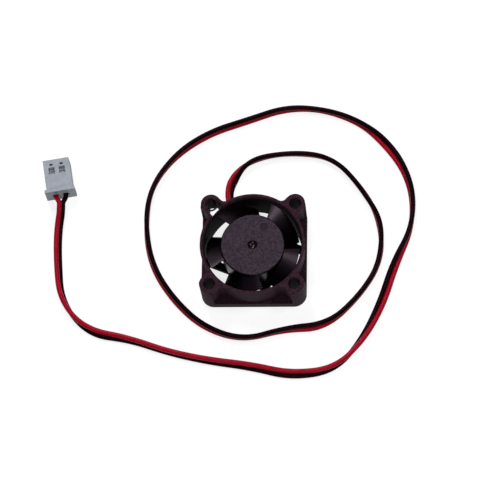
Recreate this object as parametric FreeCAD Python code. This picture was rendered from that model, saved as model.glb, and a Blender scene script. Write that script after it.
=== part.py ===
import FreeCAD, Part
import math
import os

# Small brushless axial cooling fan with its twin lead and two-way plug.
# Millimetres. Origin: centre of the frame's back face, which is the face it stands on.
# +Z is the spindle axis, towards the hub's face. The lead leaves the frame's +Y side.

# ---------------------------------------------------------------- driving dimensions
FRAME_SIZE = 25.0          # square side of the back flange
FRAME_DEPTH = 10.0
FLANGE_T = 2.3
FLANGE_CORNER_R = 3.0
HOLE_EDGE = 2.5            # middle of each screw hole to the frame's side
HOLE_D = 2.9
EAR_D = 4.8                # outside of each ear's front collar
RIM_EDGE = 0.05            # the ring's front rim stays inside the frame's side by this
RIM_LIP = 0.3              # the rim and the collars stand this far proud of the wall below
RIM_T = 0.7
RING_WALL = 0.65
EAR_FILLET = 1.2           # where each ear runs into the ring
MOUTH_FLARE = 0.35         # the duct's front edge opens by this much
MOUTH_DEPTH = 1.1
MOUTH_ROUND = 0.25         # rounding of the duct's front edge
POST_EDGE = 3.2            # width of a post's flat where it meets the frame's side

BASE_T = 0.5               # floor of the motor base
BASE_SINK = 0.15           # the base's back is set in, for the label
BASE_RIM = 0.6
BASE_INSET = 0.15          # the base is smaller than the hub by this, on the radius
FOOT_W = 0.6               # step round the bearing tube that the board rests on
STRUT_W = 1.8
STRUT_T = 1.5
STRUT_COUNT = 3            # plain struts, besides the wide one with the leads
STRUT_PITCH = 90.0         # angle from one plain strut to the next
STRUT_TURN = 158.0         # direction in which the first plain strut runs outwards, from +X
STRUT_INSET = 1.1          # its outer side, inside the motor base's edge
CHANNEL_HEADING = 150.0    # direction in which the lead's strut runs, from +X
CHANNEL_REACH = 8.0        # from the bend of the leads back towards the motor
CHANNEL_WALL = 0.4         # each side of the leads' channel
EXIT_FLOOR = 0.4           # frame left under the leads where they cross the wall
EXIT_HEAD = 0.3            # the way out reaches this far above the flange
FULL_WAY_FROM = 2.4        # from the bend outwards, the way out is open underneath
NOTCH_PAST_HOLE = 0.9      # notch in the flange's edge, beyond the screw hole's middle
NOTCH_IN = 0.6             # start of the notch, beyond the screw hole's middle
NOTCH_HEAD = 0.7           # the notch reaches this far above the flange
EAR_SLOT_WALL = 0.3        # left at each side of the slot in the lead's ear
EAR_SLOT_OVER = 0.75       # below the collar the slot runs on past the screw hole
HOLE_WALL = 0.2            # left round the screw hole beside the slot

HUB_D = 15.3
HUB_SINK = 0.9             # the hub's face lies this far below the frame's front
HUB_TOP_T = 0.95
HUB_WALL = 0.7
HUB_ROUND = 0.35           # rounding of the hub's front edge
DIMPLE_D = 2.5
DIMPLE_DEPTH = 0.5
GATE_MARK_D = 2.0
GATE_MARK_DEPTH = 0.15
GATE_MARK_AT = (2.65, 4.4)

BLADE_COUNT = 5
BLADE_LEAD_ANGLE = 64.0    # front edge of the first blade at the hub, from +X
BLADE_SWEEP = 61.0         # angle that each blade covers at the hub
TIP_AHEAD_FRONT = 3.0      # angle from the hub's end to the tip, at the front edge
TIP_AHEAD_BACK = 11.5      # and at the back edge
BLADE_T = 0.6
BLADE_EDGE_T = 0.3
BLADE_CAMBER = 0.6         # 0 is a plain helix, 1 starts level and ends steepest
BLADE_STATIONS = 7
BLADE_BELOW_HUB = 0.1      # front edge below the hub's face
BLADE_ABOVE_SKIRT = 0.2    # back edge above the hub's open end

SHAFT_D = 1.5
SHAFT_IN_HUB = 0.3         # the shaft runs this far into the hub's face
SHAFT_CHAMFER = 0.15
BEARING_OD = 3.5
TUBE_WALL = 0.75           # wall of the bearing tube
BEARING_BOTTOM = 2.1
BEARING_PROUD = 0.15       # the bearing stands above its tube
BEARING_PLUG_T = 0.35      # above the motor base's floor
YOKE_T = 0.4
YOKE_RECESS = 0.3          # the yoke's edge above the hub's open end
MAGNET_SHARE = 0.32        # of the room between the bearing tube and the yoke
MAGNET_LOW = 0.3           # the magnet above the yoke's edge
MAGNET_TOP = 0.75          # and below the yoke's top
BOSS_D = 3.4
BOSS_L = 1.0
WASHER_T = 0.2
CLIP_D = 2.5
CLIP_T = 0.2
CLIP_NECK_D = 1.0
CLIP_SLIT = 0.3
PAD_T = 0.2
WASHER_INSET = 0.2         # the washer is smaller than the boss by this, on the radius

ARM_W = 1.3
POLE_T = 0.55              # thickness of each pole shoe
POLE_ANGLE = 72.0
CORE_RING_SHARE = 0.16     # of the same room
COIL_T = 0.5
COIL_ROUND = 0.4
INSULATOR_T = 0.5
BOARD_T = 0.4
PIN_D = 0.4
PIN_INSET = 0.1            # pins inside the arms' outer radius
PIN_TAIL = 0.4             # below the board
SOLDER_H = 0.35
SOLDER_SKIN = 0.05
BEAD_R = 0.48              # solder on each lead's bared end
BEAD_DROP = 0.18
CHIP_T = 0.6
CHIP_OUTWARD = 0.2         # from the middle between the core's ring and the shoes
CHIP_STANDOFF = 0.1
CHIP_FOOT_L = 0.25
CHIP_FOOT_W = 0.2
CAPACITOR = (1.0, 0.5, 0.5)
RESISTOR = (1.0, 0.5, 0.35)
LABEL_T = 0.1

LEAD_D = 1.2               # over the insulation
WIRE_D = 0.6               # stranded conductor
PLUG_PITCH = 2.5
PLUG_W = 6.3
PLUG_LIP_W = 7.3
PLUG_LIP_L = 0.7
PLUG_LIP_T = 0.3           # the lip stands this far above the housing's top
PLUG_L = 8.4
PLUG_H = 5.1
PLUG_AT = (-46.9, 15.5)    # middle of the plug's wire side, on the surface
PLUG_HEADING = 99.5        # direction from the wire side to the mating side
PLUG_STRAIGHT = 2.6        # the leads run straight for this far before the plug
CAVITY_Y = 3.0             # start of each terminal's cavity, from the wire side
LEAD_IN = 3.1              # each lead ends this far inside the plug
BARE_L = 1.8               # bared length at the board's end of each lead
BOX_Y = 4.0                # start of the terminal's box
BARREL_SHORT = 0.5         # the barrel ends this far before the box
MATING_WALL = 0.5
PIN_SIDE = 0.45            # half of the square opening for the header's pin
TERMINAL_W = 1.7
TERMINAL_T = 0.25
LANCE_RISE = 1.3
LANCE_W = 1.2
LANCE_START = 0.255        # from the window's edge
LANCE_L = 1.19
WINDOW_W = 1.5
WINDOW_L = 1.7
WINDOW_Y = 4.7
WINDOW_BAR = 0.45          # bar between a window and the slot next to it
SLOT_L = 0.5
SLOT_W = 0.8

# ---------------------------------------------------------------- clearances
TIP_GAP = 0.35             # blade tips to the duct
RUN_GAP = 0.35             # rotor above the fixed struts
AIR_GAP = 0.3              # magnet to pole shoes
BEARING_GAP = 0.03         # shaft in its bearing, on the radius
END_PLAY = 0.1
COIL_GAP = 0.25            # coils above the board
COIL_TOP_GAP = 1.3         # coils below the yoke
COIL_SIDE_GAP = 0.1        # coil to the core's ring and to the pole shoe
BOARD_GAP = 0.5            # board to the rim of the motor base
BOARD_TUBE_GAP = 0.05      # board round the bearing tube
PAD_GAP = 0.05             # shaft above its thrust pad
PAD_SIDE_GAP = 0.05
BOARD_LIFT = 1.05          # board above the floor of the motor base
LEAD_GAP = 0.02            # between the two leads, and under them
CHANNEL_GAP = 0.15         # each side of the pair of leads in its channel
CRIMP_GAP = 0.2            # lead in the plug's wire hole, on the radius
TERMINAL_GAP = 0.1
CHIP_GAP = 0.06            # chip to the pole shoes on each side of it
SMALL_PART_GAP = 0.3       # small parts outside the pole shoes
BOARD_LEAD_GAP = 0.05      # end of the nearer lead to the board's edge
TAB_GAP = 0.15             # round the board's tab, which lies in the channel

# ---------------------------------------------------------------- building allowances
PAST = 1.0                 # cutters run this far past what they cut
LAP = 0.2                  # shapes of one solid run this far into each other
SKIN_LAP = 0.05            # the same, where a larger overlap would show
SAME_LEVEL = 0.001         # two places that differ by less are one
CORNER_SHARE = 0.45        # share of each run of the leads' route that its arcs may take

# ---------------------------------------------------------------- route of the pair of leads
# Middle of the pair, from where it leaves the frame to inside the plug. Each row is x, y.
LEAD_ROUTE = [
    (-5.0, 11.0), (-6.6, 13.9), (-5.8, 19.8), (-1.0, 24.9), (9.0, 26.5), (18.7, 25.0),
    (25.5, 17.2), (30.3, 8.5), (30.1, -2.0), (24.8, -10.6), (17.3, -17.7), (7.3, -18.4),
    (-2.5, -21.2), (-12.0, -17.9), (-19.3, -10.9), (-24.6, -2.4), (-26.4, 7.5), (-25.5, 17.5),
    (-19.7, 26.0), (-11.5, 31.7), (-2.2, 34.8), (7.4, 38.2), (17.4, 37.4), (26.7, 33.3),
    (33.8, 26.0), (37.8, 16.8), (37.6, 6.7), (33.3, -2.3), (30.3, -12.0), (26.0, -20.9),
    (19.4, -28.5), (9.0, -29.8), (-0.6, -27.5), (-10.5, -26.2), (-20.2, -24.0), (-29.4, -20.7),
    (-39.8, -18.8), (-46.2, -11.0), (-47.3, -0.9), (-47.5, 6.7),
]
EXIT_Z = 1.08              # middle of the pair where it leaves the frame
CHANNEL_Z = 1.3            # and in the strut's channel
FLOOR_Z = LEAD_D / 2 + LEAD_GAP
RISE_Z = 0.8               # the last point of LEAD_ROUTE is lifted a little towards the plug

# ---------------------------------------------------------------- worked-out sizes
HALF = FRAME_SIZE / 2
HOLE_AT = HALF - HOLE_EDGE
HOLE_R = HOLE_D / 2
RIM_R = HALF - RIM_EDGE
WALL_R = RIM_R - RIM_LIP
DUCT_R = WALL_R - RING_WALL
POST_R = EAR_D / 2 - RIM_LIP
RIM_Z = FRAME_DEPTH - RIM_T

HUB_R = HUB_D / 2
HUB_Z = FRAME_DEPTH - HUB_SINK
CAVITY_Z = HUB_Z - HUB_TOP_T
YOKE_R = HUB_R - HUB_WALL
MAGNET_R = YOKE_R - YOKE_T
TUBE_R = BEARING_OD / 2 + TUBE_WALL
MOTOR_ROOM = MAGNET_R - TUBE_R - AIR_GAP
MAGNET_T = MOTOR_ROOM * MAGNET_SHARE
POLE_R = MAGNET_R - MAGNET_T - AIR_GAP
BLADE_R = DUCT_R - TIP_GAP

BASE_R = HUB_R - BASE_INSET
BASE_Z = BASE_SINK + BASE_T
PAIR_HALF = (LEAD_D + LEAD_GAP) / 2
CHANNEL_W = 2 * PAIR_HALF + LEAD_D + 2 * CHANNEL_GAP
CHANNEL_FLOOR = CHANNEL_Z - FLOOR_Z
CHANNEL_TOP = CHANNEL_Z + LEAD_D / 2 + CHANNEL_GAP
SKIRT_Z = CHANNEL_TOP + RUN_GAP
BLADE_LOW_Z = SKIRT_Z + BLADE_ABOVE_SKIRT
BLADE_HIGH_Z = HUB_Z - BLADE_BELOW_HUB

YOKE_LOW_Z = SKIRT_Z + YOKE_RECESS
YOKE_Z = CAVITY_Z - YOKE_T
BOSS_Z = CAVITY_Z - BOSS_L
WASHER_Z = BOSS_Z - WASHER_T
BEARING_TOP = WASHER_Z - END_PLAY
TUBE_TOP = BEARING_TOP - BEARING_PROUD
PLUG_TOP_Z = BASE_Z + BEARING_PLUG_T
SHAFT_LOW_Z = PLUG_TOP_Z + PAD_T + PAD_GAP
CLIP_Z = BEARING_BOTTOM - END_PLAY - CLIP_T

BOARD_Z = BASE_Z + BOARD_LIFT
BOARD_TOP = BOARD_Z + BOARD_T
BOARD_R = BASE_R - BASE_RIM - BOARD_GAP
COIL_Z = BOARD_TOP + COIL_GAP
INSULATOR_Z = COIL_Z + COIL_T
CORE_Z = INSULATOR_Z + INSULATOR_T
COIL_TOP = YOKE_Z - COIL_TOP_GAP
UPPER_TOP = COIL_TOP - COIL_T
CORE_TOP = UPPER_TOP - INSULATOR_T
CORE_RING_R = TUBE_R + MOTOR_ROOM * CORE_RING_SHARE
ARM_R = POLE_R - POLE_T
CHIP_SIDE = 2 * (ARM_R * math.tan(math.radians(90 - POLE_ANGLE) / 2) - CHIP_GAP)
PIN_AT = ARM_R - PIN_INSET
SHAFT_TOP = CAVITY_Z + SHAFT_IN_HUB

STANDING = FreeCAD.Vector(0, 0, 1)
os.makedirs("parts", exist_ok=True)


# ---------------------------------------------------------------- small shape helpers
def at(x, y, z=0.0):
    return FreeCAD.Vector(x, y, z)


def rod(radius, z_low, z_high, x=0.0, y=0.0):
    return Part.makeCylinder(radius, z_high - z_low, at(x, y, z_low), STANDING)


def pipe(outer, inner, z_low, z_high):
    return rod(outer, z_low, z_high).cut(rod(inner, z_low - PAST, z_high + PAST))


def block(x_low, x_high, y_low, y_high, z_low, z_high):
    return Part.makeBox(x_high - x_low, y_high - y_low, z_high - z_low, at(x_low, y_low, z_low))


def turned(outline):
    """Turn a closed outline of (radius, height) points once round the spindle axis."""
    points = [at(r, 0, z) for r, z in outline]
    face = Part.Face(Part.makePolygon(points + points[:1]))
    return face.revolve(at(0, 0), STANDING, 360)


def spun(shape, degrees):
    copy = shape.copy()
    copy.rotate(at(0, 0), STANDING, degrees)
    return copy


def spun_point(radius, degrees, height):
    return at(radius * math.cos(math.radians(degrees)), radius * math.sin(math.radians(degrees)), height)


def ring_of(shape, count):
    return [spun(shape, 360.0 * i / count) for i in range(count)]


def joined(shapes):
    whole = shapes[0]
    for shape in shapes[1:]:
        whole = whole.fuse(shape)
    return whole.removeSplitter()


def without(shape, cutters):
    for cutter in cutters:
        shape = shape.cut(cutter)
    return shape


def circles_at(shape, height):
    """Closed edges that lie level at one height."""
    return [edge for edge in shape.Edges if edge.isClosed()
            and abs(edge.BoundBox.ZMin - height) + abs(edge.BoundBox.ZMax - height) < SAME_LEVEL]


def rounded_square(side, corner_r, z_low, z_high):
    half = side / 2
    plate = block(-half, half, -half, half, z_low, z_high)
    uprights = [e for e in plate.Edges if abs(e.Vertexes[0].Z - e.Vertexes[1].Z) > SAME_LEVEL]
    return plate.makeFillet(corner_r, uprights)


def write(name, shape):
    solids = shape.Solids
    body = solids[0] if len(solids) == 1 else Part.makeCompound(solids)
    body.exportStep("parts/" + name + ".step")
    print(name, len(solids), "solid(s)", round(body.Volume, 2), "mm3", body.isValid())


# ---------------------------------------------------------------- lead paths
def unit(vector):
    return vector * (1.0 / vector.Length)


def corner_radius(before, corner, after):
    run = min((corner - before).Length, (after - corner).Length)
    turn = unit(corner - before).getAngle(unit(after - corner))
    return CORNER_SHARE * run / math.tan(turn / 2), turn


def smooth_path(points):
    """Straight runs joined by tangent arcs, one arc at each inner point."""
    edges = []
    start = points[0]
    for before, corner, after in zip(points, points[1:], points[2:]):
        radius, turn = corner_radius(before, corner, after)
        back = radius * math.tan(turn / 2)
        inward = unit(before - corner)
        outward = unit(after - corner)
        enter = corner + inward * back
        leave = corner + outward * back
        to_middle = radius / math.cos(turn / 2) - radius
        middle = corner + unit(inward + outward) * to_middle
        edges.append(Part.LineSegment(start, enter).toShape())
        edges.append(Part.Arc(enter, middle, leave).toShape())
        start = leave
    edges.append(Part.LineSegment(start, points[-1]).toShape())
    return Part.Wire(edges)


def beside(points, halves):
    """Shift a path sideways, to its left, by each point's own distance."""
    moved = []
    for i, point in enumerate(points):
        arriving = points[max(i, 1)] - points[max(i, 1) - 1]
        last = len(points) - 1
        leaving = points[min(i + 1, last)] - points[min(i, last - 1)]
        left = unit(at(-arriving.y, arriving.x)) + unit(at(-leaving.y, leaving.x))
        side = unit(left)
        reach = halves[i] / (left.Length / 2)
        moved.append(point + side * reach)
    return moved


def tube_along(points, diameter, label):
    path = smooth_path(points)
    section = Part.Wire(Part.makeCircle(diameter / 2, points[0], points[1] - points[0]))
    tube = Part.Wire(path).makePipeShell([section], True, False)
    corners = zip(points, points[1:], points[2:])
    radii = [round(corner_radius(*three)[0], 1) for three in corners]
    share = tube.Volume / (math.pi * (diameter / 2) ** 2 * path.Length)
    print(label, "length", round(path.Length, 1), "radii", radii, "volume share", round(share, 4))
    return tube


def held_length(bend, heading):
    """Length of the pair in its channel: the nearer lead ends just outside the board's edge."""
    rise = min(BOARD_Z - CHANNEL_Z, LEAD_D / 2)
    reach = PAIR_HALF + math.sqrt((LEAD_D / 2) ** 2 - rise ** 2)
    edge = at(bend.x - heading.y * reach, bend.y + heading.x * reach)
    along = edge.dot(heading)
    clear = BOARD_R + BOARD_LEAD_GAP
    return along - math.sqrt(along ** 2 - edge.dot(edge) + clear ** 2)


def pair_points():
    """Points of the pair's middle: in the strut's channel, then free, then into the plug."""
    free = [at(x, y, FLOOR_Z) for x, y in LEAD_ROUTE]
    free[0].z = EXIT_Z
    free[-1].z = RISE_Z
    along = spun_point(1, PLUG_HEADING, 0)
    entry = at(PLUG_AT[0], PLUG_AT[1], PLUG_H / 2)
    free.append(entry - along * PLUG_STRAIGHT)
    free.append(entry + along * LEAD_IN)
    back = free[0] - free[1]
    bend = free[0] + back * ((CHANNEL_Z - EXIT_Z) / back.z)
    heading = spun_point(1, CHANNEL_HEADING, 0)
    length = held_length(bend, heading)
    held = [bend - heading * length, bend, free[0]]
    return held, free, length


HELD, FREE, CHANNEL_L = pair_points()
FREE_HALVES = [PAIR_HALF] * (len(FREE) - 2) + [PLUG_PITCH / 2] * 2
BEND = HELD[1]
EXIT_WAY = math.degrees(math.atan2(FREE[1].y - FREE[0].y, FREE[1].x - FREE[0].x))


def along_channel(shape):
    """Place a shape drawn along +X from the bend of the leads back into the strut."""
    copy = shape.copy()
    copy.rotate(at(0, 0), STANDING, CHANNEL_HEADING + 180)
    copy.translate(at(BEND.x, BEND.y))
    return copy


def along_exit(shape):
    """Place a shape drawn along +X from the bend of the leads outwards."""
    copy = shape.copy()
    copy.rotate(at(0, 0), STANDING, EXIT_WAY)
    copy.translate(at(BEND.x, BEND.y))
    return copy


# ---------------------------------------------------------------- frame
def ear_fillet(radius, ring_r, z_low, z_high, side):
    """Hollow curve between the ring and one side of an ear that lies along +X."""
    far = ring_r + EAR_FILLET
    across = radius + EAR_FILLET
    along = math.sqrt(far ** 2 - across ** 2)
    on_ring = ring_r / far
    corners = [
        at(along * on_ring, side * across * on_ring, z_low), at(along, side * radius, z_low),
        at(along, 0, z_low), at(DUCT_R + RING_WALL / 2, 0, z_low),
    ]
    fill = Part.Face(Part.makePolygon(corners + corners[:1])).extrude(at(0, 0, z_high - z_low))
    return fill.cut(rod(EAR_FILLET, z_low - PAST, z_high + PAST, along, side * across))


def corner_ear(radius, ring_r, z_low, z_high):
    """Ear at the +X +Y corner: round outside, with sides that curve back to the ring."""
    reach = math.hypot(HOLE_AT, HOLE_AT)
    ear = block(DUCT_R + RING_WALL / 2, reach, -radius, radius, z_low, z_high)
    for side in (1, -1):
        ear = ear.fuse(ear_fillet(radius, ring_r, z_low, z_high, side))
    return spun(ear, 45).fuse(rod(radius, z_low, z_high, HOLE_AT, HOLE_AT))


def corner_post():
    """Post under one ear: it fills the square corner and follows the ear inside."""
    edge = HALF - POST_EDGE
    corner = rounded_square(FRAME_SIZE, FLANGE_CORNER_R, 0, RIM_Z)
    corner = corner.common(block(edge, HALF, edge, HALF, 0, RIM_Z))
    return corner.fuse(corner_ear(POST_R, WALL_R, 0, RIM_Z))


def motor_base():
    floor = rod(BASE_R, BASE_SINK, BASE_Z)
    rim = pipe(BASE_R, BASE_R - BASE_RIM, BASE_SINK, CHANNEL_TOP)
    foot = rod(TUBE_R + FOOT_W, BASE_SINK, BOARD_Z)
    tube = rod(TUBE_R, BASE_SINK, TUBE_TOP)
    return [floor, rim, foot, tube]


def struts():
    """One wide strut with the leads' channel, and plain ones that slant past the axis."""
    span = pipe(DUCT_R + RING_WALL / 2, BASE_R - BASE_RIM / 2, 0, HUB_Z)
    half = CHANNEL_W / 2 + CHANNEL_WALL
    wide = along_channel(block(0, CHANNEL_REACH, -half, half, BASE_SINK, CHANNEL_TOP))
    elbow = along_exit(block(-CHANNEL_W / 3, HALF, -half, half, BASE_SINK, CHANNEL_TOP))
    outer = BASE_R - STRUT_INSET
    plain = block(0, HALF, outer - STRUT_W, outer, BASE_SINK, STRUT_T).common(span)
    turns = [STRUT_TURN + STRUT_PITCH * i for i in range(STRUT_COUNT)]
    return [wide.common(span), elbow.common(span)] + [spun(plain, turn) for turn in turns]


def lead_cutters():
    """Channel in the strut, way out through the wall and flange, and the slot beside the ear."""
    half = CHANNEL_W / 2
    channel = along_channel(block(-half, CHANNEL_L + BARE_L, -half, half, CHANNEL_FLOOR, HUB_Z))
    channel = channel.common(rod(DUCT_R, 0, FRAME_DEPTH))
    way_top = FLANGE_T + EXIT_HEAD
    way_out = along_exit(block(-CHANNEL_WALL, HALF, -half, half, EXIT_FLOOR, way_top))
    low_way = along_exit(block(FULL_WAY_FROM, HALF, -half, half, -PAST, way_top))
    notch = block(-HOLE_AT - NOTCH_PAST_HOLE, LEAD_ROUTE[0][0], HOLE_AT + NOTCH_IN, HALF + PAST,
                  -PAST, FLANGE_T + NOTCH_HEAD)
    return [channel, way_out, low_way, notch]


def wire_slot():
    """Slot right through the web of the lead's ear, between the ring and the screw hole."""
    reach = math.hypot(HOLE_AT, HOLE_AT)
    half = POST_R - EAR_SLOT_WALL
    hole_side = HOLE_R + HOLE_WALL
    web = spun(block(DUCT_R, reach, -half, half, RIM_Z - PAST, FRAME_DEPTH + PAST), 135)
    web = web.cut(rod(hole_side, RIM_Z - 2 * PAST, FRAME_DEPTH + 2 * PAST, -HOLE_AT, HOLE_AT))
    below = spun(block(DUCT_R, reach + EAR_SLOT_OVER, -half, half, FLANGE_T, RIM_Z), 135)
    through = spun(block(DUCT_R, reach - hole_side, -half, half, -PAST, FLANGE_T + PAST), 135)
    keep = rod(DUCT_R + EAR_SLOT_WALL, -2 * PAST, FRAME_DEPTH + 2 * PAST)
    return [web.cut(keep), below.cut(keep), through.cut(keep)]


def make_frame():
    flange = rounded_square(FRAME_SIZE, FLANGE_CORNER_R, 0, FLANGE_T)
    wall = rod(WALL_R, 0, RIM_Z + SKIN_LAP)
    rim = rod(RIM_R, RIM_Z, FRAME_DEPTH)
    collars = ring_of(corner_ear(EAR_D / 2, RIM_R, RIM_Z, FRAME_DEPTH), 4)
    posts = ring_of(corner_post(), 4)
    shell = joined([flange, wall, rim] + collars + posts)
    shell = shell.cut(rod(DUCT_R, -PAST, FRAME_DEPTH + PAST))
    shell = shell.cut(Part.makeCone(DUCT_R, DUCT_R + MOUTH_FLARE, MOUTH_DEPTH,
                                    at(0, 0, FRAME_DEPTH - MOUTH_DEPTH)))
    shell = shell.makeFillet(MOUTH_ROUND, circles_at(shell, FRAME_DEPTH))
    holes = ring_of(rod(HOLE_R, -PAST, FRAME_DEPTH + PAST, HOLE_AT, HOLE_AT), 4)
    shell = without(shell, holes + wire_slot())
    whole = joined([shell] + struts() + motor_base())
    bore = rod(BEARING_OD / 2, -PAST, FRAME_DEPTH)
    return without(whole, [bore] + lead_cutters())


# ---------------------------------------------------------------- impeller
def blade_section(share):
    """Slice of the blade from hub to tip: share runs from 0 at the front edge to 1 at the back."""
    drop = (1 - BLADE_CAMBER) * share + BLADE_CAMBER * share * share
    slope = (1 - BLADE_CAMBER) + 2 * BLADE_CAMBER * share
    height = BLADE_HIGH_Z - BLADE_T / 2 - drop * (BLADE_HIGH_Z - BLADE_LOW_Z - BLADE_T)
    ahead = TIP_AHEAD_FRONT + (TIP_AHEAD_BACK - TIP_AHEAD_FRONT) * share
    hub_angle = BLADE_LEAD_ANGLE - BLADE_SWEEP * share
    middle = math.radians(hub_angle + ahead / 2)
    mean_sweep = BLADE_SWEEP - (TIP_AHEAD_BACK - TIP_AHEAD_FRONT) / 2
    across = math.radians(mean_sweep) * (HUB_R + BLADE_R) / 2
    down = slope * (BLADE_HIGH_Z - BLADE_LOW_Z - BLADE_T)
    length = math.hypot(across, down)
    thickness = BLADE_EDGE_T + (BLADE_T - BLADE_EDGE_T) * math.sin(math.pi * share) ** 0.5
    lift = thickness / 2 * across / length
    lean = thickness / 2 * down / length
    normal = at(math.sin(middle) * lean, -math.cos(middle) * lean, lift)
    root = spun_point(HUB_R - HUB_WALL / 2, hub_angle, height)
    tip = spun_point(BLADE_R, hub_angle + ahead, height)
    corners = [root + normal, tip + normal, tip - normal, root - normal]
    return Part.makePolygon(corners + corners[:1])


def make_blade():
    last = BLADE_STATIONS - 1
    return Part.makeLoft([blade_section(i / last) for i in range(BLADE_STATIONS)], True, False)


def make_impeller():
    cup = turned([
        (0, CAVITY_Z), (YOKE_R, CAVITY_Z), (YOKE_R, SKIRT_Z), (HUB_R, SKIRT_Z),
        (HUB_R, HUB_Z), (0, HUB_Z),
    ])
    cup = cup.makeFillet(HUB_ROUND, circles_at(cup, HUB_Z))
    boss = rod(BOSS_D / 2, BOSS_Z, CAVITY_Z + SKIN_LAP)
    whole = joined([cup, boss] + ring_of(make_blade(), BLADE_COUNT))
    ball_r = ((DIMPLE_D / 2) ** 2 + DIMPLE_DEPTH ** 2) / (2 * DIMPLE_DEPTH)
    dimple = Part.makeSphere(ball_r, at(0, 0, HUB_Z - DIMPLE_DEPTH + ball_r))
    mark = rod(GATE_MARK_D / 2, HUB_Z - GATE_MARK_DEPTH, HUB_Z + PAST, *GATE_MARK_AT)
    socket = rod(SHAFT_D / 2, BOSS_Z - PAST, SHAFT_TOP)
    return without(whole, [dimple, mark, socket])


# ---------------------------------------------------------------- rotor metal
def make_yoke():
    return turned([
        (BOSS_D / 2, YOKE_Z), (MAGNET_R, YOKE_Z), (MAGNET_R, YOKE_LOW_Z), (YOKE_R, YOKE_LOW_Z),
        (YOKE_R, CAVITY_Z), (BOSS_D / 2, CAVITY_Z),
    ])


def make_shaft():
    pin = rod(SHAFT_D / 2, SHAFT_LOW_Z, SHAFT_TOP)
    tip = max(pin.Edges, key=lambda edge: -edge.CenterOfMass.z)
    pin = pin.makeChamfer(SHAFT_CHAMFER, [tip])
    return pin.cut(pipe(SHAFT_D, CLIP_NECK_D / 2, CLIP_Z, CLIP_Z + CLIP_T))


def make_clip():
    ring = pipe(CLIP_D / 2, CLIP_NECK_D / 2, CLIP_Z, CLIP_Z + CLIP_T)
    return ring.cut(block(0, CLIP_D, -CLIP_SLIT / 2, CLIP_SLIT / 2, CLIP_Z - PAST, CLIP_Z + PAST))


# ---------------------------------------------------------------- stator
def pole_arm(z_low, z_high, shoe_low, shoe_high):
    """One arm along +X with its curved pole shoe."""
    arm = block(CORE_RING_R - LAP, ARM_R + LAP, -ARM_W / 2, ARM_W / 2, z_low, z_high)
    shoe = pipe(POLE_R, ARM_R, shoe_low, shoe_high)
    half = math.radians(POLE_ANGLE / 2)
    reach = POLE_R * 2
    wedge = Part.makePolygon([
        at(0, 0, shoe_low), at(reach, -reach * math.tan(half), shoe_low),
        at(reach, reach * math.tan(half), shoe_low), at(0, 0, shoe_low),
    ])
    wedge = Part.Face(wedge).extrude(at(0, 0, shoe_high - shoe_low))
    return arm.fuse(shoe.common(wedge))


def make_core():
    ring = pipe(CORE_RING_R, TUBE_R, CORE_Z, CORE_TOP)
    return joined([ring] + ring_of(pole_arm(CORE_Z, CORE_TOP, CORE_Z, CORE_TOP), 4))


def make_upper_insulator():
    ring = pipe(CORE_RING_R, TUBE_R, CORE_TOP, UPPER_TOP)
    return joined([ring] + ring_of(pole_arm(CORE_TOP, UPPER_TOP, CORE_TOP, COIL_TOP), 4))


def make_lower_insulator():
    """Bobbin half under the core, with an ear over each pin."""
    ring = pipe(CORE_RING_R, TUBE_R, INSULATOR_Z, CORE_Z)
    arms = ring_of(pole_arm(INSULATOR_Z, CORE_Z, COIL_Z, CORE_Z), 4)
    ear = block(CORE_RING_R - LAP, PIN_AT + PIN_D, -PIN_D, PIN_D, INSULATOR_Z, CORE_Z)
    return joined([ring] + arms + pin_places(ear))


def make_windings():
    inner = ARM_W / 2
    outer = inner + COIL_T
    low_x = CORE_RING_R + COIL_SIDE_GAP
    high_x = math.sqrt(ARM_R ** 2 - outer ** 2) - COIL_SIDE_GAP
    coil = block(low_x, high_x, -outer, outer, COIL_Z, COIL_TOP)
    lengthwise = [e for e in coil.Edges if abs(e.Vertexes[0].X - e.Vertexes[1].X) > SAME_LEVEL]
    coil = coil.makeFillet(COIL_ROUND, lengthwise)
    coil = coil.cut(block(0, POLE_R, -inner, inner, INSULATOR_Z, UPPER_TOP))
    return Part.makeCompound(ring_of(coil, 4))


def pin_places(shape):
    """Copies at the three corners between the arms that carry pins."""
    return [spun(shape, degrees) for degrees in (135, 225, 315)]


def make_pins():
    pin = rod(PIN_D / 2, BOARD_Z - PIN_TAIL, INSULATOR_Z, PIN_AT, 0)
    return Part.makeCompound(pin_places(pin))


def make_board():
    """Round board with a tab that reaches over the leads' bared ends."""
    board = pipe(BOARD_R, TUBE_R + BOARD_TUBE_GAP, BOARD_Z, BOARD_TOP)
    half = CHANNEL_W / 2 - TAB_GAP
    tab = block(CHANNEL_L + TAB_GAP, CHANNEL_L + BARE_L - TAB_GAP, -half, half, BOARD_Z, BOARD_TOP)
    board = joined([board, along_channel(tab)])
    holes = pin_places(rod(PIN_D / 2, BOARD_Z - PAST, BOARD_TOP + PAST, PIN_AT, 0))
    return without(board, holes)


def make_solder():
    """A cone under the board round each pin, and a bead on each lead's bared end."""
    low = BOARD_Z - SOLDER_H
    cone = Part.makeCone(PIN_D / 2 + SOLDER_SKIN, PIN_D, SOLDER_H, at(PIN_AT, 0, low))
    cone = cone.cut(rod(PIN_D / 2, low - PAST, BOARD_Z + PAST, PIN_AT, 0))
    beads = []
    for end in conductor_ends():
        bead = rod(BEAD_R, CHANNEL_Z - BEAD_DROP, BOARD_Z, end.x, end.y)
        beads.append(without(bead, conductors()))
    return Part.makeCompound(pin_places(cone) + beads)


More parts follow.
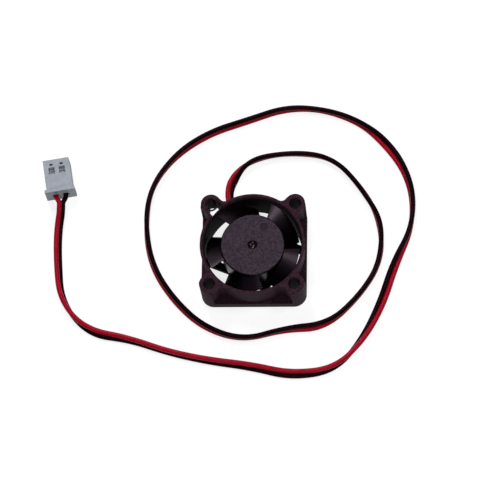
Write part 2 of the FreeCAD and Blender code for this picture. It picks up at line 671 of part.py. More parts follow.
def make_chip():
    """Square driver chip between two arms, with two feet on each side."""
    side = CHIP_SIDE
    middle = (ARM_R + CORE_RING_R) / 2 + CHIP_OUTWARD
    low = BOARD_TOP + CHIP_STANDOFF
    body = block(middle - side / 2, middle + side / 2, -side / 2, side / 2, low, low + CHIP_T)
    pieces = [body]
    for across in (-side / 4, side / 4):
        foot = block(side / 2, side / 2 + CHIP_FOOT_L, across - CHIP_FOOT_W / 2, across + CHIP_FOOT_W / 2,
                     BOARD_TOP, low + CHIP_T / 2)
        back = foot.mirror(at(0, 0), at(1, 0))
        for one in (foot, back):
            one.translate(at(middle, 0))
            pieces.append(one)
    return spun(Part.makeCompound(pieces), 45)


def make_small_part(degrees, size):
    """Chip capacitor or resistor near the board's edge."""
    length, width, height = size
    middle = POLE_R + SMALL_PART_GAP + width / 2
    shape = block(middle - width / 2, middle + width / 2, -length / 2, length / 2,
                  BOARD_TOP, BOARD_TOP + height)
    return spun(shape, degrees)


# ---------------------------------------------------------------- leads
def strand(points, halves, side):
    return beside(points, [side * half for half in halves])


def held_strand(side):
    return strand(HELD + FREE[1:2], [PAIR_HALF] * 4, side)[:3]


def conductors():
    """Bared end of each lead, which lies under the board."""
    wires = []
    for side in (1, -1):
        start, bend, _ = held_strand(side)
        wires.append(Part.makeCylinder(WIRE_D / 2, BARE_L, start, start - bend))
    return wires


def conductor_ends():
    ends = []
    for side in (1, -1):
        start, bend, _ = held_strand(side)
        ends.append(start + unit(start - bend) * (BARE_L - WIRE_D))
    return ends


# ---------------------------------------------------------------- plug
def on_plug(shape):
    """Place a shape drawn with the plug's wire side at the origin and its mating side along +Y."""
    copy = shape.copy()
    copy.rotate(at(0, 0), STANDING, PLUG_HEADING - 90)
    copy.translate(at(*PLUG_AT))
    return copy


def make_plug_housing():
    body = block(-PLUG_W / 2, PLUG_W / 2, 0, PLUG_L, 0, PLUG_H)
    lip = block(-PLUG_LIP_W / 2, PLUG_LIP_W / 2, 0, PLUG_LIP_L, 0, PLUG_H + PLUG_LIP_T)
    body = body.fuse(lip).removeSplitter()
    middle = PLUG_H / 2
    half = TERMINAL_W / 2 + TERMINAL_GAP
    slot_y = WINDOW_Y + WINDOW_L + WINDOW_BAR
    over = PLUG_H + PAST
    cutters = []
    for x in (-PLUG_PITCH / 2, PLUG_PITCH / 2):
        cutters.append(Part.makeCylinder(LEAD_D / 2 + CRIMP_GAP, CAVITY_Y + PAST + LAP / 2,
                                         at(x, -PAST, middle), at(0, 1, 0)))
        cutters.append(block(x - half, x + half, CAVITY_Y, PLUG_L - MATING_WALL,
                             middle - half, middle + half))
        cutters.append(block(x - PIN_SIDE, x + PIN_SIDE, CAVITY_Y, PLUG_L + PAST,
                             middle - PIN_SIDE, middle + PIN_SIDE))
        cutters.append(block(x - WINDOW_W / 2, x + WINDOW_W / 2,
                             WINDOW_Y, WINDOW_Y + WINDOW_L, middle, over))
        cutters.append(block(x - SLOT_W / 2, x + SLOT_W / 2, slot_y, slot_y + SLOT_L, middle, over))
    return on_plug(without(body, cutters))


def make_terminal(x):
    """Stamped contact: a box that takes the pin, a raised lance, and a barrel crimped on the lead."""
    middle = PLUG_H / 2
    half = TERMINAL_W / 2
    bore = half - TERMINAL_T
    floor = middle - half
    end = PLUG_L - MATING_WALL - TERMINAL_GAP
    barrel_end = BOX_Y - BARREL_SHORT
    box = block(x - half, x + half, BOX_Y, end, floor, middle + half)
    box = box.cut(block(x - bore, x + bore, BOX_Y - PAST, end + PAST, middle - bore, middle + bore))
    neck = block(x - bore, x + bore, LEAD_IN, BOX_Y + LAP, floor, floor + TERMINAL_T)
    barrel = Part.makeCylinder(WIRE_D / 2 + TERMINAL_T, barrel_end - LEAD_IN,
                               at(x, LEAD_IN, middle), at(0, 1, 0))
    web = block(x - WIRE_D / 2, x + WIRE_D / 2, LEAD_IN, barrel_end, floor, middle)
    start = WINDOW_Y + LANCE_START
    low = middle + half - SKIN_LAP
    corner = at(x - LANCE_W / 2, start, low)
    lance = Part.Face(Part.makePolygon([
        corner + at(0, LANCE_L), corner, corner + at(0, 0, LANCE_RISE + SKIN_LAP), corner + at(0, LANCE_L),
    ]))
    return on_plug(joined([box, neck, barrel, web, lance.extrude(at(LANCE_W, 0))]))


# ---------------------------------------------------------------- sub-parts
write("fan_frame", make_frame())
write("impeller", make_impeller())
write("rotor_yoke", make_yoke())
write("magnet_ring", pipe(MAGNET_R, MAGNET_R - MAGNET_T, YOKE_LOW_Z + MAGNET_LOW, YOKE_Z - MAGNET_TOP))
write("shaft", make_shaft())
write("retaining_clip", make_clip())
write("oil_washer", pipe(BOSS_D / 2 - WASHER_INSET, SHAFT_D / 2, WASHER_Z, BOSS_Z))
write("sleeve_bearing", pipe(BEARING_OD / 2, SHAFT_D / 2 + BEARING_GAP, BEARING_BOTTOM, BEARING_TOP))
write("thrust_pad", rod(BEARING_OD / 2 - PAD_SIDE_GAP, PLUG_TOP_Z, PLUG_TOP_Z + PAD_T))
write("bearing_plug", rod(BEARING_OD / 2, BASE_SINK, PLUG_TOP_Z))
write("stator_core", make_core())
write("upper_insulator", make_upper_insulator())
write("lower_insulator", make_lower_insulator())
write("windings", make_windings())
write("winding_pins", make_pins())
write("circuit_board", make_board())
write("driver_chip", make_chip())
write("board_capacitor", make_small_part(0, CAPACITOR))
write("board_resistor", make_small_part(-90, RESISTOR))
write("solder_joints", make_solder())
write("rear_label", rod(BASE_R - BASE_RIM, BASE_SINK - LABEL_T, BASE_SINK))
write("lead_conductors", Part.makeCompound(conductors()))
for name, side in (("red_lead", 1), ("black_lead", -1)):
    write(name + "_inner", tube_along(held_strand(side), LEAD_D, name + "_inner"))
    write(name, tube_along(strand(HELD[1:2] + FREE, [PAIR_HALF] + FREE_HALVES, side)[1:], LEAD_D, name))
write("plug_housing", make_plug_housing())
write("red_terminal", make_terminal(-PLUG_PITCH / 2))
write("black_terminal", make_terminal(PLUG_PITCH / 2))
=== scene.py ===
import math

import bpy
import numpy as np
from mathutils import Matrix, Vector


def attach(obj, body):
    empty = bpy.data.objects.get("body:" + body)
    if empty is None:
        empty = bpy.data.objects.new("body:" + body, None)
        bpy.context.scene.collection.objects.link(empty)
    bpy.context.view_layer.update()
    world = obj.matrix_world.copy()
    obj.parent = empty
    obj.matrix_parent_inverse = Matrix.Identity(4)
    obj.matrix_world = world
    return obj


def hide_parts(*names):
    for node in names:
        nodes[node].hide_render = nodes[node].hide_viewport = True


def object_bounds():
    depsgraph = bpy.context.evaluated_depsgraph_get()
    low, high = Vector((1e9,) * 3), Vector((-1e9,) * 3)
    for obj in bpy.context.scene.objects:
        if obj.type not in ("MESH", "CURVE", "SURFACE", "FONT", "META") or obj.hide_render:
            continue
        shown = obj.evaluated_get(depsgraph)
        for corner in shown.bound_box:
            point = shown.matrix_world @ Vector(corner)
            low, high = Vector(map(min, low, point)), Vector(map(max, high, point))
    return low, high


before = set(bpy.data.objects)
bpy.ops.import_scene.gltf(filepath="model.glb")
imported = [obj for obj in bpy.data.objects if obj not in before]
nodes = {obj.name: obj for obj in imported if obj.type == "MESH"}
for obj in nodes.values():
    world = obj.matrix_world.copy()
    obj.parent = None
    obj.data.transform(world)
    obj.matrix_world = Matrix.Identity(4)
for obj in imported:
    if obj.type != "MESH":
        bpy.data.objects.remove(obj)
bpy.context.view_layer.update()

MM = 0.001

# ------------------------------------------------------------------ camera
# A long lens looks down on the fan's open face, leaning a little towards the
# side away from the lead's exit, and is rolled by about a degree.
CAMERA_TARGET = Vector((-1.2, 1.9, 0.0)) * MM
CAMERA_DISTANCE = 665.0 * MM
CAMERA_LEAN = math.radians(20.0)
CAMERA_TURN = math.radians(11.0)
CAMERA_ROLL = math.radians(0.9)

towards_camera = Vector((
    math.sin(CAMERA_LEAN) * math.sin(CAMERA_TURN),
    -math.sin(CAMERA_LEAN) * math.cos(CAMERA_TURN),
    math.cos(CAMERA_LEAN),
))
camera_right = Vector((0, 1, 0)).cross(towards_camera).normalized()
camera_up = towards_camera.cross(camera_right)
rolled_right = math.cos(CAMERA_ROLL) * camera_right + math.sin(CAMERA_ROLL) * camera_up
rolled_up = -math.sin(CAMERA_ROLL) * camera_right + math.cos(CAMERA_ROLL) * camera_up
camera_data = bpy.data.cameras.new("camera")
camera_data.lens = 200.0
camera_data.sensor_width = 36.0
camera_data.clip_start = 0.05
camera_data.clip_end = 5.0
camera = bpy.data.objects.new("camera", camera_data)
camera.matrix_world = Matrix.Translation(CAMERA_TARGET + towards_camera * CAMERA_DISTANCE) @ Matrix((
    rolled_right, rolled_up, towards_camera)).transposed().to_4x4()
bpy.context.scene.collection.objects.link(camera)
bpy.context.scene.camera = camera

# ------------------------------------------------------------------ twin lead
# Two PVC-covered stranded wires, bonded side by side. The pair twists slowly
# as it goes round the fan, lies on the surface, and parts just before the plug.
LEAD_R = 0.6 * MM
PAIR_HALF = 0.575 * MM         # bonded, the two middles are this far from the pair's
PLUG_HALF = 1.25 * MM          # and this far apart at the plug's two ways
PARTING_L = 2.4 * MM           # length over which they part
LEAD_IN_PLUG = 3.1 * MM
EXIT_L = 3.0 * MM              # length that still lies in the frame's notch
LEAD_STEP = 0.3 * MM
LEAD_SIDES = 24
# middle of the pair, x and y in millimetres, from the frame's side into the plug
LEAD_ROUTE = [
    (-5.0, 11.0), (-6.6, 13.9), (-5.8, 19.8), (-1.0, 24.9), (9.0, 26.5), (18.7, 25.0),
    (25.5, 17.2), (30.3, 8.5), (30.1, -2.0), (24.8, -10.6), (17.3, -17.7), (7.3, -18.4),
    (-2.5, -21.2), (-12.0, -17.9), (-19.3, -10.9), (-24.6, -2.4), (-26.4, 7.5), (-25.5, 17.5),
    (-19.7, 26.0), (-11.5, 31.7), (-2.2, 34.8), (7.4, 38.2), (17.4, 37.4), (26.7, 33.3),
    (33.8, 26.0), (37.8, 16.8), (37.6, 6.7), (33.3, -2.3), (30.3, -12.0), (26.0, -20.9),
    (19.4, -28.5), (9.0, -29.8), (-0.6, -27.5), (-10.5, -26.2), (-20.2, -24.0), (-29.4, -20.7),
    (-39.8, -18.8), (-46.2, -11.0), (-47.3, -0.9), (-47.5, 6.7), (-46.47, 12.94), (-47.41, 18.56),
]
EXIT_Z = 1.08
FLOOR_Z = 0.62
RISE_Z = 0.8
PLUG_Z = 2.55
# turn of the pair about its own line: millimetres from the exit, and degrees from
# red on the left of the way it goes; 90 is red on top, -90 is black on top
LEAD_TURNS = [
    (0, 50), (7, 48), (11, -46), (16, -88), (22, -72), (29, -82), (35, -72), (42, -78), (49, -72),
    (55, -110), (62, -82), (69, -92), (75, -94), (82, -86), (89, -48), (95, -84), (102, -98),
    (109, -88), (115, -76), (122, -70), (135, -70), (142, -76), (148, -92), (155, -80), (162, -88),
    (168, -104), (175, -108), (182, -106), (188, -102), (195, -98), (202, -82), (208, -94),
    (215, -106), (222, -170), (228, -128), (235, -112), (242, -96), (248, -74), (255, -30),
    (261, -10), (268, 22), (275, 52), (281, 88), (288, 126), (295, 160), (301, 136), (308, 122),
    (314, 114), (321, 106), (328, 104), (334, 110), (341, 148), (348, 96), (354, 70), (362, 52),
    (420, 40),
]
TURN_SOFTNESS = 1.6 * MM
BELL_REACH = 3                 # the averaging bell is cut off this many widths from its middle


def route_points():
    """The route's NURBS line, as evenly spaced points, with their distances along it."""
    heights = [EXIT_Z] + [FLOOR_Z] * (len(LEAD_ROUTE) - 4) + [RISE_Z, PLUG_Z, PLUG_Z]
    data = bpy.data.curves.new("lead_route", "CURVE")
    data.dimensions = "3D"
    spline = data.splines.new("NURBS")
    spline.points.add(len(LEAD_ROUTE) - 1)
    flat = [value for (x, y), z in zip(LEAD_ROUTE, heights) for value in (x * MM, y * MM, z * MM, 1.0)]
    spline.points.foreach_set("co", flat)
    spline.order_u = 3
    spline.use_endpoint_u = True
    spline.resolution_u = 16
    route = bpy.data.objects.new("lead_route", data)
    mesh = bpy.data.meshes.new_from_object(route)
    line = np.empty(len(mesh.vertices) * 3)
    mesh.vertices.foreach_get("co", line)
    line = line.reshape(-1, 3)
    bpy.data.objects.remove(route)
    bpy.data.curves.remove(data)
    bpy.data.meshes.remove(mesh)
    way = np.concatenate(([0.0], np.cumsum(np.linalg.norm(np.diff(line, axis=0), axis=1))))
    even = np.linspace(0.0, way[-1], int(way[-1] / LEAD_STEP))
    return np.stack([np.interp(even, way, line[:, i]) for i in range(3)], axis=1), even


def softened(values, step, softness):
    """A row of values averaged with a bell curve of the given width."""
    reach = int(BELL_REACH * softness / step)
    bell = np.exp(-0.5 * (np.arange(-reach, reach + 1) * step / softness) ** 2)
    padded_row = np.pad(values, reach, mode="edge")
    return np.convolve(padded_row, bell / bell.sum(), mode="valid")


def unit_rows(rows):
    """Each row divided by its own length."""
    return rows / np.linalg.norm(rows, axis=1, keepdims=True)


def strand_line(side):
    """Middle of one strand: the pair's line, plus half the spacing turned about it by the twist."""
    line, way = route_points()
    turns = np.array(LEAD_TURNS, dtype=float)
    turn = np.radians(np.interp(way / MM, turns[:, 0], turns[:, 1]))
    turn = softened(turn, way[1] - way[0], TURN_SOFTNESS)
    parting = np.clip((way - (way[-1] - LEAD_IN_PLUG - PARTING_L)) / PARTING_L, 0.0, 1.0)
    parting = parting ** 2 * (3 - 2 * parting)      # eased at both ends
    turn = turn * (1 - parting)
    forward = unit_rows(np.gradient(line, axis=0))
    left = unit_rows(np.cross([0.0, 0.0, 1.0], forward))
    up = np.cross(forward, left)
    half = PAIR_HALF + (PLUG_HALF - PAIR_HALF) * parting
    offset = left * np.cos(turn)[:, None] + up * np.sin(turn)[:, None]
    lifted = line.copy()
    in_frame = np.clip(1.0 - way / EXIT_L, 0.0, 1.0)
    lifted[:, 2] += half * np.abs(np.sin(turn)) * (1 - parting) * (1 - in_frame)
    return lifted + side * half[:, None] * offset


def tube(name, line, radius, sides):
    """Round tube: at each point of the line, a circle across its direction; closed by two caps."""
    forward = unit_rows(np.gradient(line, axis=0))
    left = unit_rows(np.cross([0.0, 0.0, 1.0], forward))
    up = np.cross(forward, left)
    angle = np.linspace(0, 2 * np.pi, sides, endpoint=False)
    rings = (line[:, None] + radius * (np.cos(angle)[None, :, None] * left[:, None]
                                       + np.sin(angle)[None, :, None] * up[:, None]))
    count = len(line)
    i, j = np.meshgrid(np.arange(count - 1), np.arange(sides), indexing="ij")
    k = (j + 1) % sides
    quads = np.stack([i * sides + j, i * sides + k, (i + 1) * sides + k, (i + 1) * sides + j], axis=-1)
    mesh = bpy.data.meshes.new(name)
    caps = [list(range(sides))[::-1], list(range((count - 1) * sides, count * sides))]
    mesh.from_pydata(rings.reshape(-1, 3), [], quads.reshape(-1, 4).tolist() + caps)
    mesh.shade_smooth()
    piece = bpy.data.objects.new(name, mesh)
    bpy.context.scene.collection.objects.link(piece)
    return piece


def new_material(name):
    """A material, its node tree and its Principled shader."""
    material = bpy.data.materials.new(name)
    material.use_nodes = True
    tree = material.node_tree
    return material, tree, tree.nodes["Principled BSDF"]


def noise(tree, source, scale, detail=2.0):
    """Noise from 0 to 1 over the source, with this many patches per metre."""
    texture = tree.nodes.new("ShaderNodeTexNoise")
    texture.inputs["Scale"].default_value = scale
    texture.inputs["Detail"].default_value = detail
    tree.links.new(source, texture.inputs["Vector"])
    return texture.outputs["Fac"]


def two_tone(tree, source, low, high, half):
    """Ramp: the low colour up to 0.5 less half, the high one from 0.5 plus half, mixed between."""
    node = tree.nodes.new("ShaderNodeValToRGB")
    for element, place, colour in zip(node.color_ramp.elements, (0.5 - half, 0.5 + half), (low, high)):
        element.position = place
        element.color = (*colour, 1.0)
    tree.links.new(source, node.inputs["Fac"])
    return node.outputs["Color"]


def uneven_roughness(tree, source, shader, rough, spread):
    """Roughness that rises from rough by the spread as the source goes from low to high."""
    level = two_tone(tree, source, (rough,) * 3, (rough + spread,) * 3, half=0.2)
    tree.links.new(level, shader.inputs["Roughness"])


def object_coordinates(tree):
    """Place on the piece, in metres."""
    return tree.nodes.new("ShaderNodeTexCoord").outputs["Object"]


def bump(tree, shader, height, strength, distance):
    """Raises the surface's normal by the height, over the given distance in metres."""
    node = tree.nodes.new("ShaderNodeBump")
    node.inputs["Strength"].default_value = strength
    node.inputs["Distance"].default_value = distance
    tree.links.new(height, node.inputs["Height"])
    tree.links.new(node.outputs["Normal"], shader.inputs["Normal"])


PVC_MOTTLE = 500.0             # patches per metre in the colour
PVC_GLOSS_PATCHES = 900.0      # and in the gloss
PVC_WAVES = 1400.0             # and waves of the skin
PVC_WAVE_H = 0.03 * MM
PVC_TINT = (1.0, 0.3, 0.5, 1.0)


def insulation(name, dark, light, rough, gloss):
    """Extruded PVC: glossy, with faint mottling and a slightly wavy skin."""
    material, tree, shader = new_material(name)
    shader.inputs["Specular IOR Level"].default_value = gloss
    shader.inputs["Specular Tint"].default_value = PVC_TINT
    place = object_coordinates(tree)
    mottle = noise(tree, place, PVC_MOTTLE, detail=3.0)
    tree.links.new(two_tone(tree, mottle, dark, light, half=0.15), shader.inputs["Base Color"])
    uneven_roughness(tree, noise(tree, place, PVC_GLOSS_PATCHES), shader, rough, spread=0.1)
    bump(tree, shader, noise(tree, place, PVC_WAVES), strength=0.25, distance=PVC_WAVE_H)
    return material


RED_PVC = insulation("red_pvc", (0.29, 0.0004, 0.007), (0.38, 0.0008, 0.014), 0.36, 0.25)
BLACK_PVC = insulation("black_pvc", (0.0018, 0.0003, 0.0009), (0.005, 0.0008, 0.0025), 0.28, 0.07)

for name, side, material, going_with in (
        ("red_strand", 1, RED_PVC, ("plug_housing", "red_terminal")),
        ("black_strand", -1, BLACK_PVC, ("black_terminal",))):
    line = strand_line(side)
    strand = tube(name, line, LEAD_R, LEAD_SIDES)
    strand.data.materials.append(material)
    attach(strand, "fan_body")
    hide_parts(name.replace("strand", "lead"))

# ------------------------------------------------------------------ moulded plastic of the fan
# Frame and impeller are injection moulded in black glass-filled nylon. Spark-eroded
# faces of the mould leave a fine grain; duct, blades, dimple and gate mark are smoother.
# The duct, blades and dimple are also painted near-black, and the gate mark darker, as painted shade.
PIT_DETAIL = 3.0
BLOOM_DETAIL = 5.0
BLOOM_SHARE = 0.7              # bloom patches per pit, along a line
PLAIN_GLOSS = 0.5
NO_TINT = (1.0, 1.0, 1.0)


def moulded_grain_group():
    """Grain for moulded plastic: fine pits as height, broad bloom as a mask."""
    group = bpy.data.node_groups.new("moulded_grain", "ShaderNodeTree")
    face = group.interface
    face.new_socket("Vector", in_out="INPUT", socket_type="NodeSocketVector")
    face.new_socket("Pit Scale", in_out="INPUT", socket_type="NodeSocketFloat")
    face.new_socket("Bloom Scale", in_out="INPUT", socket_type="NodeSocketFloat")
    face.new_socket("Height", in_out="OUTPUT", socket_type="NodeSocketFloat")
    face.new_socket("Bloom", in_out="OUTPUT", socket_type="NodeSocketFloat")
    entry = group.nodes.new("NodeGroupInput")
    leave = group.nodes.new("NodeGroupOutput")
    for scale, result, detail in (("Pit Scale", "Height", PIT_DETAIL),
                                  ("Bloom Scale", "Bloom", BLOOM_DETAIL)):
        texture = group.nodes.new("ShaderNodeTexNoise")
        texture.inputs["Detail"].default_value = detail
        group.links.new(entry.outputs["Vector"], texture.inputs["Vector"])
        group.links.new(entry.outputs[scale], texture.inputs["Scale"])
        group.links.new(texture.outputs["Fac"], leave.inputs[result])
    return group


MOULDED_GRAIN = moulded_grain_group()


def moulded_plastic(name, dark, light, rough, pit_scale, depth, gloss=PLAIN_GLOSS, tint=NO_TINT):
    """Moulded plastic: bloom mixes two colours and varies the roughness, pits raise the normal."""
    material, tree, shader = new_material(name)
    shader.inputs["Specular IOR Level"].default_value = gloss
    shader.inputs["Specular Tint"].default_value = (*tint, 1.0)
    grain = tree.nodes.new("ShaderNodeGroup")
    grain.node_tree = MOULDED_GRAIN
    grain.inputs["Pit Scale"].default_value = pit_scale
    grain.inputs["Bloom Scale"].default_value = pit_scale * BLOOM_SHARE
    tree.links.new(object_coordinates(tree), grain.inputs["Vector"])
    bloom = grain.outputs["Bloom"]
    tree.links.new(two_tone(tree, bloom, dark, light, half=0.12), shader.inputs["Base Color"])
    uneven_roughness(tree, bloom, shader, rough, spread=0.12)
    bump(tree, shader, grain.outputs["Height"], strength=0.5, distance=depth)
    return material


def round_mask(tree, centre, low, high):
    """Mask: distance from an upright line through the centre, 0 at the low radius and 1 at the high one."""
    shifted = tree.nodes.new("ShaderNodeVectorMath")
    shifted.operation = "MULTIPLY_ADD"
    shifted.inputs[1].default_value = (1.0, 1.0, 0.0)
    shifted.inputs[2].default_value = (-centre[0], -centre[1], 0.0)
    tree.links.new(object_coordinates(tree), shifted.inputs[0])
    distance = tree.nodes.new("ShaderNodeVectorMath")
    distance.operation = "LENGTH"
    tree.links.new(shifted.outputs["Vector"], distance.inputs[0])
    rise = tree.nodes.new("ShaderNodeMapRange")
    rise.inputs["From Min"].default_value = low
    rise.inputs["From Max"].default_value = high
    tree.links.new(distance.outputs["Value"], rise.inputs["Value"])
    return rise.outputs["Result"]


# a Mix node has sockets of the same name for each data type; these are the colour ones
MIX_FACTOR, MIX_A, MIX_B, MIX_RESULT = 0, 6, 7, 2
LEVEL = 0.5                    # height of a surface without grain


def smooth_with_painted_shade(material, mask, colour, rough):
    """Where the mask is 1, the plastic has this roughness and no grain, and this colour, which is painted
    shade.
    """
    tree = material.node_tree
    shader = tree.nodes["Principled BSDF"]
    height = shader.inputs["Normal"].links[0].from_node.inputs["Height"]
    for socket, value in ((shader.inputs["Base Color"], colour), (shader.inputs["Roughness"], (rough,) * 3),
                          (height, (LEVEL,) * 3)):
        mix = tree.nodes.new("ShaderNodeMix")
        mix.data_type = "RGBA"
        tree.links.new(mask, mix.inputs[MIX_FACTOR])
        tree.links.new(socket.links[0].from_socket, mix.inputs[MIX_A])
        mix.inputs[MIX_B].default_value = (*value, 1.0)
        tree.links.new(mix.outputs[MIX_RESULT], socket)


def finish_node(node, material):
    """Gives a piece this one material."""
    mesh = nodes[node].data
    mesh.materials.clear()
    mesh.materials.append(material)


BLACK_GLOSS = (1.0, 0.72, 0.92)
FRAME_PLASTIC = moulded_plastic("frame_plastic", (0.017, 0.0055, 0.0100), (0.042, 0.0180, 0.0290), 0.6,
                                3800.0, 0.03 * MM, 0.08, BLACK_GLOSS)
HUB_PLASTIC = moulded_plastic("impeller_plastic", (0.012, 0.007, 0.013), (0.043, 0.031, 0.045), 0.60,
                              3200.0, 0.08 * MM, 0.24, BLACK_GLOSS)
AXIS = (0.0, 0.0)
# near-black painted as shade on the duct's wall, the blades and the dimple
PAINTED_SHADE_BLACK = (0.0012, 0.0004, 0.0009)
DUCT_EDGE_R = 11.6 * MM        # the duct and its rounded front edge are inside this radius
DUCT_BLEND = 0.05 * MM         # width over which its smooth finish and painted shade give way to the grain
DUCT_ROUGH = 0.8
HUB_FACE_R = 7.3 * MM          # the hub's textured face ends where its edge is rounded
HUB_BLEND = 0.1 * MM           # the same width on the impeller
BLADE_ROUGH = 0.32
DIMPLE_R = 1.2 * MM
DIMPLE_ROUGH = 0.24
GATE_AT = (2.65 * MM, 4.4 * MM)
GATE_R = 1.0 * MM
# darker colour painted on the gate mark's disc as the shade along its rim
GATE_PAINTED_SHADE = (0.004, 0.002, 0.004)
GATE_ROUGH = 0.5
# the duct's wall gets a smoother finish and is painted near-black as shade
duct_shade_mask = round_mask(FRAME_PLASTIC.node_tree, AXIS, DUCT_EDGE_R, DUCT_EDGE_R - DUCT_BLEND)
smooth_with_painted_shade(FRAME_PLASTIC, duct_shade_mask, PAINTED_SHADE_BLACK, DUCT_ROUGH)
# the blades get a smoother finish and are painted near-black as shade, darker than the lit hub face
blade_shade_mask = round_mask(HUB_PLASTIC.node_tree, AXIS, HUB_FACE_R, HUB_FACE_R + HUB_BLEND)
smooth_with_painted_shade(HUB_PLASTIC, blade_shade_mask, PAINTED_SHADE_BLACK, BLADE_ROUGH)
# the dimple gets a smoother finish and its pit is painted near-black as shade
dimple_shade_mask = round_mask(HUB_PLASTIC.node_tree, AXIS, DIMPLE_R, DIMPLE_R - HUB_BLEND)
smooth_with_painted_shade(HUB_PLASTIC, dimple_shade_mask, PAINTED_SHADE_BLACK, DIMPLE_ROUGH)
# the gate mark's disc is painted darker as shade, with its own roughness and no grain
gate_rim_shade_mask = round_mask(HUB_PLASTIC.node_tree, GATE_AT, GATE_R, GATE_R - HUB_BLEND)
smooth_with_painted_shade(HUB_PLASTIC, gate_rim_shade_mask, GATE_PAINTED_SHADE, GATE_ROUGH)
finish_node("fan_frame", FRAME_PLASTIC)
finish_node("impeller", HUB_PLASTIC)

# ------------------------------------------------------------------ plug
# Two-way crimp housing moulded in natural nylon, slightly bluish in daylight,
# over two stamped and tinned contacts.
PLUG_NYLON = moulded_plastic("plug_nylon", (0.27, 0.296, 0.348), (0.348, 0.374, 0.435), 0.45,
                             1800.0, 0.01 * MM)
finish_node("plug_housing", PLUG_NYLON)
ROLLING_MARK_H = 0.01 * MM


def metal(name, dark, light, rough, scale):
    """Bare or plated metal with fine rolling marks in its colour and roughness."""
    material, tree, shader = new_material(name)
    shader.inputs["Metallic"].default_value = 1.0
    marks = noise(tree, object_coordinates(tree), scale, detail=4.0)
    tree.links.new(two_tone(tree, marks, dark, light, half=0.2), shader.inputs["Base Color"])
    uneven_roughness(tree, marks, shader, rough, spread=0.15)
    bump(tree, shader, marks, strength=0.15, distance=ROLLING_MARK_H)
    return material


TIN = metal("tin_plate", (0.78, 0.78, 0.80), (0.86, 0.86, 0.88), 0.5, 1200.0)
for node in ("red_terminal", "black_terminal", "solder_joints", "winding_pins", "lead_conductors"):
    finish_node(node, TIN)

# ------------------------------------------------------------------ inside the motor
# Yoke, magnet, shaft and bearing, and the wound stator on its circuit board.
# All of it is closed in by the hub and the motor base.
STEEL = metal("drawn_steel", (0.45, 0.45, 0.47), (0.62, 0.62, 0.64), 0.25, 3000.0)
for node in ("shaft", "rotor_yoke"):
    finish_node(node, STEEL)
finish_node("stator_core", metal("lamination_steel", (0.28, 0.28, 0.30), (0.42, 0.42, 0.44), 0.4, 4000.0))
finish_node("sleeve_bearing", metal("sintered_bronze", (0.40, 0.24, 0.11), (0.56, 0.36, 0.19), 0.45, 6000.0))
finish_node("windings", metal("enamelled_copper", (0.42, 0.13, 0.05), (0.62, 0.24, 0.10), 0.3, 5000.0))
for node in ("upper_insulator", "lower_insulator", "thrust_pad", "retaining_clip", "oil_washer"):
    finish_node(node, moulded_plastic(node + "_nylon", (0.68, 0.67, 0.62), (0.80, 0.79, 0.74), 0.45,
                                      2500.0, 0.01 * MM))
finish_node("magnet_ring", moulded_plastic("bonded_ferrite", (0.03, 0.03, 0.033), (0.07, 0.07, 0.075), 0.6,
                                           4000.0, 0.02 * MM))
finish_node("bearing_plug", moulded_plastic("soft_rubber", (0.015, 0.015, 0.015), (0.03, 0.03, 0.03), 0.7,
                                            3000.0, 0.02 * MM))
finish_node("circuit_board", moulded_plastic("board_mask", (0.015, 0.13, 0.05), (0.03, 0.20, 0.08), 0.3,
                                             2500.0, 0.01 * MM))
finish_node("board_capacitor", moulded_plastic("fired_ceramic", (0.35, 0.24, 0.16), (0.48, 0.35, 0.24), 0.4,
                                               4000.0, 0.01 * MM))
for node in ("driver_chip", "board_resistor"):
    finish_node(node, moulded_plastic(node + "_epoxy", (0.015, 0.015, 0.018), (0.04, 0.04, 0.045), 0.5,
                                      5000.0, 0.01 * MM))
finish_node("rear_label", moulded_plastic("label_film", (0.60, 0.60, 0.61), (0.72, 0.72, 0.73), 0.3,
                                          1500.0, 0.005 * MM))
finish_node("red_lead_inner", RED_PVC)
finish_node("black_lead_inner", BLACK_PVC)

# ------------------------------------------------------------------ floor and light
# A white sheet just under the fan, weak light from all round, and five soft lamps:
# high behind on the left, high on the right, high in front, low in front, low behind.
FLOOR_DROP = 0.02 * MM         # keeps the sheet clear of what lies on it
floor_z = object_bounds()[0][2] - FLOOR_DROP
FLOOR_HALF = 1.2
FLOOR_COLOUR = (0.3, 0.3, 0.3, 1.0)
FLOOR_GLOW = 0.8               # added where the floor is seen directly or in gloss, which makes it white
WORLD_LIGHT = 0.16


def larger(tree, first, second):
    """The larger of two values."""
    node = tree.nodes.new("ShaderNodeMath")
    node.operation = "MAXIMUM"
    tree.links.new(first, node.inputs[0])
    tree.links.new(second, node.inputs[1])
    return node.outputs[0]


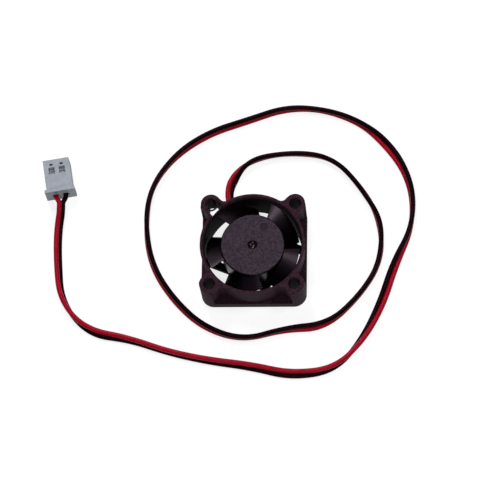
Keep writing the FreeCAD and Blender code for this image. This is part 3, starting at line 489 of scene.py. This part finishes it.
floor_mesh = bpy.data.meshes.new("floor")
floor_corners = [(x * FLOOR_HALF, y * FLOOR_HALF, floor_z) for x, y in ((-1, -1), (1, -1), (1, 1), (-1, 1))]
floor_mesh.from_pydata(floor_corners, [], [(0, 1, 2, 3)])
floor = bpy.data.objects.new("floor", floor_mesh)
bpy.context.scene.collection.objects.link(floor)
floor_material, tree, shader = new_material("floor_white")
shader.inputs["Base Color"].default_value = FLOOR_COLOUR
shader.inputs["Roughness"].default_value = 0.9
shader.inputs["Specular IOR Level"].default_value = 0.0
shader.inputs["Emission Color"].default_value = (1.0, 1.0, 1.0, 1.0)
seen = tree.nodes.new("ShaderNodeLightPath")
mirrored = larger(tree, seen.outputs["Is Glossy Ray"], seen.outputs["Is Transmission Ray"])
shown = larger(tree, seen.outputs["Is Camera Ray"], mirrored)
glow = tree.nodes.new("ShaderNodeMath")
glow.operation = "MULTIPLY"
glow.inputs[1].default_value = FLOOR_GLOW
tree.links.new(shown, glow.inputs[0])
tree.links.new(glow.outputs[0], shader.inputs["Emission Strength"])
floor_mesh.materials.append(floor_material)

world = bpy.data.worlds.new("studio")
bpy.context.scene.world = world
world.use_nodes = True
world.node_tree.nodes["Background"].inputs["Color"].default_value = (1.0, 1.0, 1.0, 1.0)
world.node_tree.nodes["Background"].inputs["Strength"].default_value = WORLD_LIGHT


def soft_lamp(name, place, size, power):
    """Round area lamp at the place, turned towards the origin; size in metres, power in watts."""
    data = bpy.data.lights.new(name, "AREA")
    data.shape = "DISK"
    data.size = size
    data.energy = power
    lamp = bpy.data.objects.new(name, data)
    lamp.location = place
    lamp.rotation_euler = (-Vector(place)).to_track_quat("-Z", "Y").to_euler()
    bpy.context.scene.collection.objects.link(lamp)


soft_lamp("key_lamp", (-0.15, 0.32, 0.56), size=0.14, power=1.2)
soft_lamp("right_lamp", (0.30, 0.08, 0.62), size=0.14, power=1.2)
soft_lamp("front_lamp", (-0.08, -0.30, 0.72), size=0.18, power=0.95)
soft_lamp("low_front_lamp", (0.05, -0.58, 0.28), size=0.20, power=0.6)
soft_lamp("back_lamp", (-0.06, 0.56, 0.34), size=0.18, power=1.1)
bpy.context.scene.view_settings.view_transform = "Standard"
